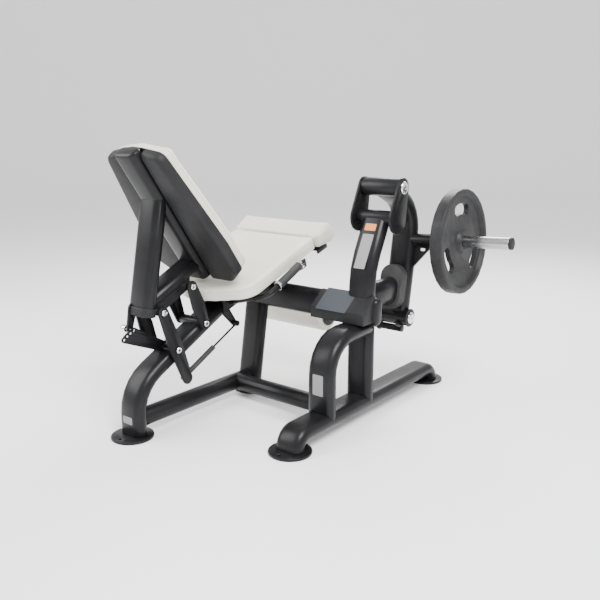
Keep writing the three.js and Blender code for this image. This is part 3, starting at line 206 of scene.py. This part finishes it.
def brushed_steel():
    graph = Graph("brushed_steel", (0.50, 0.50, 0.52), 0.3, 1.0)
    graph.gloss(graph.noise(60, stretch=(1, 14, 14)), 0.22, 0.42)
    graph.raised(graph.noise(90, stretch=(1, 18, 18)), 0.12, 0.0002)
    return graph.material


def satin_sleeve():
    graph = Graph("satin_sleeve", (0.36, 0.36, 0.37), 0.25, 1.0)
    graph.gloss(graph.noise(60, stretch=(1, 16, 16)), 0.2, 0.34)
    graph.raised(graph.noise(90, stretch=(1, 18, 18)), 0.08, 0.0002)
    return graph.material


def chrome():
    graph = Graph("chrome", (0.78, 0.79, 0.80), 0.08, 1.0)
    graph.gloss(graph.noise(35), 0.06, 0.15)
    graph.raised(graph.noise(240), 0.03, 0.0001)
    return graph.material


def upholstery():
    graph = Graph("ivory_vinyl", (0.66, 0.63, 0.54), 0.46)
    graph.tint(graph.noise(5), (0.63, 0.60, 0.51), (0.69, 0.66, 0.575))
    graph.gloss(graph.noise(30), 0.40, 0.54)
    graph.raised(graph.cells(420), 0.28, 0.0004)
    graph.shader.inputs["Sheen Weight"].default_value = 0.06
    return graph.material


def seam_thread():
    graph = Graph("seam_welt", (0.62, 0.60, 0.53), 0.55)
    graph.tint(graph.noise(60), (0.58, 0.56, 0.49), (0.65, 0.63, 0.56))
    graph.raised(graph.noise(900), 0.3, 0.0004)
    return graph.material


def black_plastic():
    graph = Graph("matt_plastic", (0.014, 0.014, 0.015), 0.55)
    graph.tint(graph.noise(9), (0.011, 0.011, 0.012), (0.019, 0.019, 0.020))
    graph.shader.inputs["Specular IOR Level"].default_value = PAINT_SPECULAR
    graph.gloss(graph.noise(50), 0.48, 0.62)
    graph.raised(graph.cells(700), 0.22, 0.0003)
    return graph.material


def black_rubber():
    graph = Graph("black_rubber", (0.02, 0.02, 0.02), 0.7)
    graph.tint(graph.noise(20), (0.015, 0.015, 0.015), (0.027, 0.027, 0.027))
    graph.gloss(graph.noise(80), 0.6, 0.8)
    graph.raised(graph.noise(500), 0.35, 0.0005)
    return graph.material


def cast_iron():
    graph = Graph("coated_iron", (0.016, 0.016, 0.017), 0.45)
    graph.tint(graph.noise(30), (0.013, 0.013, 0.014), (0.021, 0.021, 0.022))
    graph.gloss(graph.noise(70), 0.38, 0.52)
    graph.shader.inputs["Specular IOR Level"].default_value = PAINT_SPECULAR
    graph.raised(graph.noise(420), 0.15, 0.0004)
    return graph.material


def stained_board():
    graph = Graph("stained_board", (0.09, 0.07, 0.055), 0.6)
    graph.tint(graph.noise(25, stretch=(1, 9, 9)), (0.07, 0.052, 0.04), (0.12, 0.095, 0.075))
    graph.raised(graph.noise(120, stretch=(1, 9, 9)), 0.2, 0.0004)
    return graph.material


def blank_panel(name, colour):
    graph = Graph(name, colour, 0.45)
    graph.gloss(graph.noise(40), 0.4, 0.52)
    graph.raised(graph.noise(600), 0.05, 0.0001)
    return graph.material


def pale_floor():
    graph = Graph("pale_floor", (0.93, 0.93, 0.93), 0.6)
    graph.gloss(graph.noise(3), 0.55, 0.68)
    return graph.material


FINISH = {
    "painted_frame": powder_coat(),
    "steel": brushed_steel(),
    "chrome": chrome(),
    "ivory_upholstery": upholstery(),
    "black_plastic": black_plastic(),
    "black_rubber": black_rubber(),
    "cast_iron": cast_iron(),
    "board": stained_board(),
}
WELT = seam_thread()
SLEEVE = satin_sleeve()
LABEL_GREY = blank_panel("label_grey", (0.20, 0.20, 0.20))
LABEL_ORANGE = blank_panel("label_orange", (0.62, 0.20, 0.05))
CONSOLE_FACE = blank_panel("console_face", (0.030, 0.036, 0.045))
OWN_MATERIAL = {"weight_sleeve": SLEEVE, "gas_rod": FINISH["painted_frame"]}
SLOT_OF = {row["node"]: row["material_slot"] for row in frame["record"]["subparts"]}
BODY_OF = {
    node: body
    for body, members in frame["record"]["behaviour"]["bodies"].items()
    for node in members
}


# ---------------------------------------------------------------- mesh helpers
def new_object(name, mesh):
    piece = bpy.data.objects.new(name, mesh)
    bpy.context.scene.collection.objects.link(piece)
    return piece


def dress(piece, material, body):
    piece.data.materials.clear()
    piece.data.materials.append(material)
    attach(piece, body)
    return piece


def applied(piece):
    """The piece with its modifiers worked into its mesh."""
    bpy.context.view_layer.update()
    evaluated = piece.evaluated_get(bpy.context.evaluated_depsgraph_get())
    mesh = bpy.data.meshes.new_from_object(evaluated)
    piece.modifiers.clear()
    piece.data = mesh
    return piece


def welded_copy(node, name):
    mesh = frame["nodes"][node].data.copy()
    shape = bmesh.new()
    shape.from_mesh(mesh)
    bmesh.ops.remove_doubles(shape, verts=shape.verts, dist=WELD)
    bmesh.ops.dissolve_limit(
        shape, angle_limit=FLAT_ANGLE, verts=shape.verts, edges=shape.edges
    )
    shape.to_mesh(mesh)
    shape.free()
    return new_object(name, mesh)


def points_of(piece):
    flat = np.zeros(len(piece.data.vertices) * 3)
    piece.data.vertices.foreach_get("co", flat)
    return flat.reshape(-1, 3)


def normals_of(piece):
    flat = np.zeros(len(piece.data.vertices) * 3)
    piece.data.vertices.foreach_get("normal", flat)
    return flat.reshape(-1, 3)


def put_points(piece, points):
    piece.data.vertices.foreach_set("co", points.ravel())
    piece.data.update()


def shaded(piece):
    piece.data.shade_smooth()
    piece.data.set_sharp_from_angle(angle=SMOOTH_ANGLE)
    return piece


# ---------------------------------------------------------------- hard pieces
def refined(node):
    """A hard CAD piece with broken edges and smooth rounds, in the same place."""
    piece = welded_copy(node, node + "_fine")
    bevel = piece.modifiers.new("edges", "BEVEL")
    bevel.width = EDGE_BEVEL
    bevel.segments = 2
    bevel.limit_method = "ANGLE"
    bevel.angle_limit = SMOOTH_ANGLE
    bevel.use_clamp_overlap = True
    bevel.harden_normals = False
    shaded(applied(piece))
    slot = SLOT_OF[node]
    dress(piece, OWN_MATERIAL.get(node, FINISH[slot]), BODY_OF[node])
    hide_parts(node)
    return piece


# ---------------------------------------------------------------- cushions
def facing(node, towards):
    """The direction of the node's largest flat face that looks along `towards`."""
    total = Vector((0, 0, 0))
    best = 0.0
    for face in frame["nodes"][node].data.polygons:
        if face.normal.dot(towards) > 0.7 and face.area > best:
            best = face.area
            total = face.normal.copy()
    return total.normalized()


def remeshed(piece):
    remesh = piece.modifiers.new("even", "REMESH")
    remesh.mode = "VOXEL"
    remesh.voxel_size = VOXEL
    applied(piece)
    smooth = piece.modifiers.new("soften", "SMOOTH")
    smooth.factor = 0.5
    smooth.iterations = SOFTEN_STEPS
    return applied(piece)


def inflated(piece, out, cap):
    """Cloth under pressure swells the cover, held where it rests and capped at `cap`."""
    start = points_of(piece) - normals_of(piece) * PAD_INSET
    put_points(piece, start)
    cloth = piece.modifiers.new("swell", "CLOTH")
    cloth.settings.use_pressure = True
    cloth.settings.uniform_pressure_force = CLOTH_PRESSURE
    cloth.settings.effector_weights.gravity = 0
    for step in range(1, CLOTH_FRAMES + 1):
        bpy.context.scene.frame_set(step)
    evaluated = piece.evaluated_get(bpy.context.evaluated_depsgraph_get())
    swollen = np.array([vertex.co for vertex in evaluated.data.vertices])
    piece.modifiers.clear()
    bpy.context.scene.frame_set(1)
    move = swollen - start
    far = np.linalg.norm(move, axis=1, keepdims=True)
    move *= np.minimum(1, cap / np.maximum(far, 1e-9))
    height = start @ np.array(out)
    hold = np.clip((height - height.min()) / BASE_SOFTEN, 0, 1)[:, None]
    put_points(piece, start + move * hold)
    return piece


def subdivided(piece):
    finer = piece.modifiers.new("finer", "SUBSURF")
    finer.levels = 1
    finer.render_levels = 1
    applied(piece)
    piece.data.shade_smooth()
    return piece


def grooved(piece, planes):
    """Pulls the cover in along each seam plane."""
    points = points_of(piece)
    normals = normals_of(piece)
    for at, normal in planes:
        off = (points - np.array(at)) @ np.array(normal)
        pull = SEAM_DEPTH * np.exp(-((off / SEAM_HALF) ** 2))
        points = points - normals * pull[:, None]
    put_points(piece, points)
    return piece


def cut_loops(piece, at, normal):
    """The closed lines where a plane cuts the piece, each as a list of points."""
    shape = bmesh.new()
    shape.from_mesh(piece.data)
    found = bmesh.ops.bisect_plane(
        shape, geom=shape.verts[:] + shape.edges[:] + shape.faces[:], plane_co=at, plane_no=normal
    )
    edges = [item for item in found["geom_cut"] if isinstance(item, bmesh.types.BMEdge)]
    beside = {}
    for edge in edges:
        first, second = edge.verts
        beside.setdefault(first, []).append(second)
        beside.setdefault(second, []).append(first)
    loops = []
    left = set(beside)
    while left:
        here = min(left, key=lambda vertex: vertex.index)
        loop = []
        while here is not None:
            left.discard(here)
            loop.append(here.co.copy())
            here = next((vertex for vertex in beside[here] if vertex in left), None)
        loops.append(loop)
    shape.free()
    return loops


def piping(piece, name, planes, body):
    """A sewn welt that follows each seam round the cushion."""
    line = bpy.data.curves.new(name, "CURVE")
    line.dimensions = "3D"
    line.bevel_depth = PIPING
    line.bevel_resolution = 3
    for at, normal in planes:
        for loop in cut_loops(piece, at, normal):
            spline = line.splines.new("POLY")
            spline.points.add(len(loop) - 1)
            for point, place in zip(spline.points, loop):
                point.co = (*place, 1)
            spline.use_cyclic_u = True
    welt = bpy.data.objects.new(name, line)
    bpy.context.scene.collection.objects.link(welt)
    return dress(welt, WELT, body)


def seam_below(node, out, share):
    """A seam plane across a pad, `share` of its thickness under the face that looks `out`."""
    points = points_of(frame["nodes"][node])
    height = points @ np.array(out)
    depth = height.max() - share * (height.max() - height.min())
    return out * depth, out


def end_seams(node, inset):
    low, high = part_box(node)
    return [(Vector((low.x + inset, 0, 0)), X_AXIS), (Vector((high.x - inset, 0, 0)), X_AXIS)]


def cushion(node, out, cap, planes):
    piece = welded_copy(node, node + "_cover")
    remeshed(piece)
    inflated(piece, out, cap)
    subdivided(piece)
    grooved(piece, planes)
    dress(piece, FINISH["ivory_upholstery"], BODY_OF[node])
    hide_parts(node)
    piping(piece, node + "_welt", planes, BODY_OF[node])
    return piece


# ---------------------------------------------------------------- grip collars and blank panels
def long_axis(node):
    """Middle, direction, half length and radius of a straight round piece."""
    points = points_of(frame["nodes"][node])
    middle = points.mean(0)
    along = np.linalg.svd(points - middle, full_matrices=False)[2][0]
    run = (points - middle) @ along
    middle = middle + along * (run.max() + run.min()) / 2
    run = (points - middle) @ along
    off = (points - middle) - np.outer(run, along)
    return Vector(middle), Vector(along), run.max(), np.linalg.norm(off, axis=1).max()


def turned(name, profile, at, along):
    """A round piece turned about `along`, from a closed profile of (distance, radius)."""
    turn = Z_AXIS.rotation_difference(along).to_matrix()
    rings = []
    faces = []
    count = len(profile)
    for side in range(COLLAR_SIDES):
        angle = 2 * math.pi * side / COLLAR_SIDES
        for distance, radius in profile:
            local = Vector((radius * math.cos(angle), radius * math.sin(angle), distance))
            rings.append(at + turn @ local)
    for side in range(COLLAR_SIDES):
        after = (side + 1) % COLLAR_SIDES
        for step in range(count):
            then = (step + 1) % count
            faces.append(
                (side * count + step, after * count + step, after * count + then, side * count + then)
            )
    mesh = bpy.data.meshes.new(name)
    mesh.from_pydata(rings, [], faces)
    mesh.update()
    shape = bmesh.new()
    shape.from_mesh(mesh)
    bmesh.ops.recalc_face_normals(shape, faces=shape.faces)
    shape.to_mesh(mesh)
    shape.free()
    return shaded(new_object(name, mesh))


def grip_collars(node):
    """A chrome collar round the grip at each of its ends."""
    middle, along, half, radius = long_axis(node)
    outer = radius + COLLAR_PROUD
    inner = radius + 0.0002
    soft = 0.0012
    profile = [
        (0, inner), (0, outer - soft), (soft, outer), (COLLAR_LONG - soft, outer),
        (COLLAR_LONG, outer - soft), (COLLAR_LONG, inner),
    ]
    for end, sign in (("front", 1), ("rear", -1)):
        at = middle + along * (sign * (half - COLLAR_LONG))
        collar = turned(f"{node}_{end}_collar", profile, at, along * sign)
        dress(collar, FINISH["chrome"], BODY_OF[node])


def closed_turned(name, profile, sides, at, along):
    """A solid of revolution whose profile starts and ends on the axis."""
    turn = Z_AXIS.rotation_difference(along).to_matrix()
    shape = bmesh.new()
    rings = []
    for distance, radius in profile:
        ring = []
        for side in range(sides if radius else 1):
            angle = 2 * math.pi * side / sides
            local = Vector((radius * math.cos(angle), radius * math.sin(angle), distance))
            ring.append(shape.verts.new(at + turn @ local))
        rings.append(ring)
    for low, high in zip(rings, rings[1:]):
        for side in range(sides):
            after = (side + 1) % sides
            corners = [
                low[side % len(low)], low[after % len(low)],
                high[after % len(high)], high[side % len(high)],
            ]
            shape.faces.new(list(dict.fromkeys(corners)))
    bmesh.ops.recalc_face_normals(shape, faces=shape.faces)
    mesh = bpy.data.meshes.new(name)
    shape.to_mesh(mesh)
    shape.free()
    return shaded(new_object(name, mesh))


def socket_shade_disc(name, at, along, body):
    """A thin black hexagon disc in the middle of a bolt head: painted shade standing in for the shade inside its
    socket recess.
    """
    radius = SOCKET_ACROSS / math.sqrt(3)
    profile = [(0, 0), (0, radius), (SOCKET_THICK, radius), (SOCKET_THICK, 0)]
    piece = closed_turned(name, profile, SOCKET_SIDES, at, along)
    # the black rubber finish here is painted shade for the socket recess, not a black part
    dress(piece, FINISH["black_rubber"], body)


def bolt_head(name, at, along, body):
    """A domed chrome bolt head, with a black disc of painted shade where its hexagon socket recess is."""
    profile = [
        (0, 0), (0, HEAD_RADIUS), (HEAD_THICK - HEAD_SOFT, HEAD_RADIUS),
        (HEAD_THICK, HEAD_RADIUS - HEAD_SOFT), (HEAD_THICK, 0),
    ]
    head = closed_turned(name, profile, COLLAR_SIDES, at, along)
    dress(head, FINISH["chrome"], body)
    socket_shade_disc(name + "_socket", at + along * HEAD_THICK, along, body)


def link_heads():
    """The bolt heads where each pair of links turns on the frame."""
    for joint in frame["joints"]:
        if joint["name"] not in ("rear_link_swing", "front_link_swing"):
            continue
        node = joint["child"][:-1]
        low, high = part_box(node)
        at = Vector(joint["pos_m"])
        for side, edge, along in (("right", high.x, X_AXIS), ("left", low.x, -X_AXIS)):
            bolt_head(f"{node}_{side}_pivot_head", Vector((edge, at.y, at.z)), along, BODY_OF[node])


def cap_socket_shades():
    """A black hexagon disc of painted shade, for a socket recess, on the outer face of each chrome cap of the arm.
    """
    for node, along in (("hub_cap_right", X_AXIS), ("hub_cap_left", -X_AXIS), ("lower_hub_cap", X_AXIS)):
        low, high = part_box(node)
        middle = (low + high) / 2
        middle.x = high.x if along.x > 0 else low.x
        place, _ = on_surface(node, middle + along, -along)
        # the socket's darkness is painted shade, laid on as a thin black disc
        socket_shade_disc(node + "_socket", place or middle, along, BODY_OF[node])


def labels():
    """Plain blank panels where the machine carries its labels."""
    low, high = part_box("tower_tube")
    middle = (low.x + high.x) / 2
    tall = high.z - low.z
    spots = (
        ("tower_label", TOWER_LABEL_AT, TOWER_LABEL, LABEL_GREY),
        ("tower_label_header", TOWER_LABEL_AT + TOWER_HEADER_ABOVE / tall, TOWER_HEADER, LABEL_ORANGE),
    )
    for name, share, size, material in spots:
        origin = Vector((middle, low.y - RAY_START, low.z + share * tall))
        panel(name, "tower_tube", origin, Y_AXIS, Z_AXIS, size, material)
    low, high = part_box("arch_tube")
    origin = Vector(((low.x + high.x) / 2, low.y - RAY_START, low.z + ARCH_LABEL_AT * (high.z - low.z)))
    panel("arch_label", "arch_tube", origin, Y_AXIS, Z_AXIS, ARCH_LABEL, LABEL_GREY)
    low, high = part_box("rear_frame_tube")
    origin = Vector(((low.x + high.x) / 2, low.y - RAY_START, low.z + REAR_LABEL_ABOVE))
    panel("rear_tube_label", "rear_frame_tube", origin, Y_AXIS, Z_AXIS, REAR_LABEL, LABEL_GREY)
    low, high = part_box("console_housing")
    middle = (low + high) / 2
    origin = Vector((middle.x - CONSOLE_FACE_LEFT, middle.y, high.z + RAY_START))
    panel("console_face", "console_housing", origin, -Z_AXIS, Y_AXIS, CONSOLE_FACE_SIZE, CONSOLE_FACE)


def on_surface(node, origin, direction):
    """Where a line from `origin` meets the node, and the surface's direction there."""
    mesh = frame["nodes"][node].data
    points = [vertex.co for vertex in mesh.vertices]
    faces = [tuple(face.vertices) for face in mesh.polygons]
    place, normal, _, _ = BVHTree.FromPolygons(points, faces).ray_cast(origin, direction)
    return place, normal


def panel(name, node, origin, direction, along, size, material):
    """A thin blank plate laid on a tube where a line from `origin` meets it."""
    place, normal = on_surface(node, origin, direction)
    if place is None:
        return
    up = (along - normal * along.dot(normal)).normalized()
    side = up.cross(normal)
    outline = []
    for u, v in ((1, 1), (-1, 1), (-1, -1), (1, -1)):
        start = math.atan2(v, u) - math.pi / 4
        for step in range(PANEL_CORNER_STEPS + 1):
            angle = start + step * math.pi / 2 / PANEL_CORNER_STEPS
            outline.append((
                u * (size[0] / 2 - PANEL_CORNER) + PANEL_CORNER * math.cos(angle),
                v * (size[1] / 2 - PANEL_CORNER) + PANEL_CORNER * math.sin(angle),
            ))
    lift = (PANEL_LIFT, PANEL_THICK)
    points = [place + side * u + up * v + normal * high for high in lift for u, v in outline]
    count = len(outline)
    faces = [tuple(range(count - 1, -1, -1)), tuple(range(count, 2 * count))]
    faces += [(i, (i + 1) % count, count + (i + 1) % count, count + i) for i in range(count)]
    mesh = bpy.data.meshes.new(name)
    mesh.from_pydata(points, [], faces)
    mesh.update()
    dress(new_object(name, mesh), material, BODY_OF[node])


# ---------------------------------------------------------------- studio
def backdrop():
    """A pale floor that curves up into a wall behind the object, seen from the camera."""
    azimuth = math.radians(CAMERA_AZIMUTH)
    ahead = Vector((-math.sin(azimuth), math.cos(azimuth), 0))
    side = Vector((ahead.y, -ahead.x, 0))
    profile = [(-FLOOR_HALF, 0.0), (FLOOR_HALF - BACKDROP_BEND, 0.0)]
    for step in range(1, BACKDROP_STEPS + 1):
        angle = math.pi / 2 * step / BACKDROP_STEPS
        profile.append((
            FLOOR_HALF - BACKDROP_BEND + BACKDROP_BEND * math.sin(angle),
            BACKDROP_BEND * (1 - math.cos(angle)),
        ))
    profile.append((FLOOR_HALF, BACKDROP_HEIGHT))
    points = [
        ahead * run + side * wide + Z_AXIS * high
        for run, high in profile
        for wide in (-FLOOR_HALF, FLOOR_HALF)
    ]
    faces = [(2 * i, 2 * i + 1, 2 * i + 3, 2 * i + 2) for i in range(len(profile) - 1)]
    mesh = bpy.data.meshes.new("floor")
    mesh.from_pydata(points, [], faces)
    mesh.shade_smooth()
    floor = new_object("floor", mesh)
    floor.data.materials.append(pale_floor())


def area_light(name, place, target, size, power):
    lamp = bpy.data.lights.new(name, "AREA")
    lamp.shape = "DISK"
    lamp.size = size
    lamp.energy = power
    light = bpy.data.objects.new(name, lamp)
    light.location = place
    light.rotation_euler = (target - place).to_track_quat("-Z", "Y").to_euler()
    bpy.context.scene.collection.objects.link(light)


def studio():
    backdrop()
    low, high = cad_bounds
    middle = (Vector(low) + Vector(high)) / 2
    area_light("key", middle + Vector((2.2, -1.4, 3.2)), middle, 2.4, 330)
    area_light("fill", middle + Vector((-2.6, -2.4, 2.0)), middle, 3.0, 150)
    area_light("rim", middle + Vector((-0.8, 3.0, 2.6)), middle, 2.4, 190)
    world = bpy.data.worlds.new("studio")
    world.use_nodes = True
    world.node_tree.nodes["Background"].inputs["Color"].default_value = (1, 1, 1, 1)
    world.node_tree.nodes["Background"].inputs["Strength"].default_value = 1.25
    bpy.context.scene.world = world


def camera():
    eye = bpy.data.cameras.new("camera")
    eye.lens = LENS
    eye.sensor_width = SENSOR
    view = bpy.data.objects.new("camera", eye)
    view.location = CAMERA_AT
    view.rotation_euler = Euler((math.radians(90 - CAMERA_PITCH), 0, math.radians(CAMERA_AZIMUTH)))
    bpy.context.scene.collection.objects.link(view)
    bpy.context.scene.camera = view


# ---------------------------------------------------------------- the machine
def main():
    camera()
    studio()
    for node in frame["nodes"]:
        if node not in SOFT:
            refined(node)
    seat_up = facing("seat_cushion", Z_AXIS)
    back_out = facing("back_cushion", Y_AXIS)
    cushion(
        "seat_cushion",
        seat_up,
        SEAT_SWELL,
        [seam_below("seat_cushion", seat_up, SEAT_SEAM_SHARE)],
    )
    cushion(
        "back_cushion",
        back_out,
        BACK_SWELL,
        [seam_below("back_cushion", back_out, BACK_SEAM_SHARE)],
    )
    cushion("front_bolster", seat_up, BOLSTER_SWELL, end_seams("front_bolster", BOLSTER_SEAM_INSET))
    cushion("roller_pad", Z_AXIS, ROLLER_SWELL, end_seams("roller_pad", ROLLER_SEAM_INSET))
    for node in GRIPS:
        grip_collars(node)
    link_heads()
    cap_socket_shades()
    labels()


main()
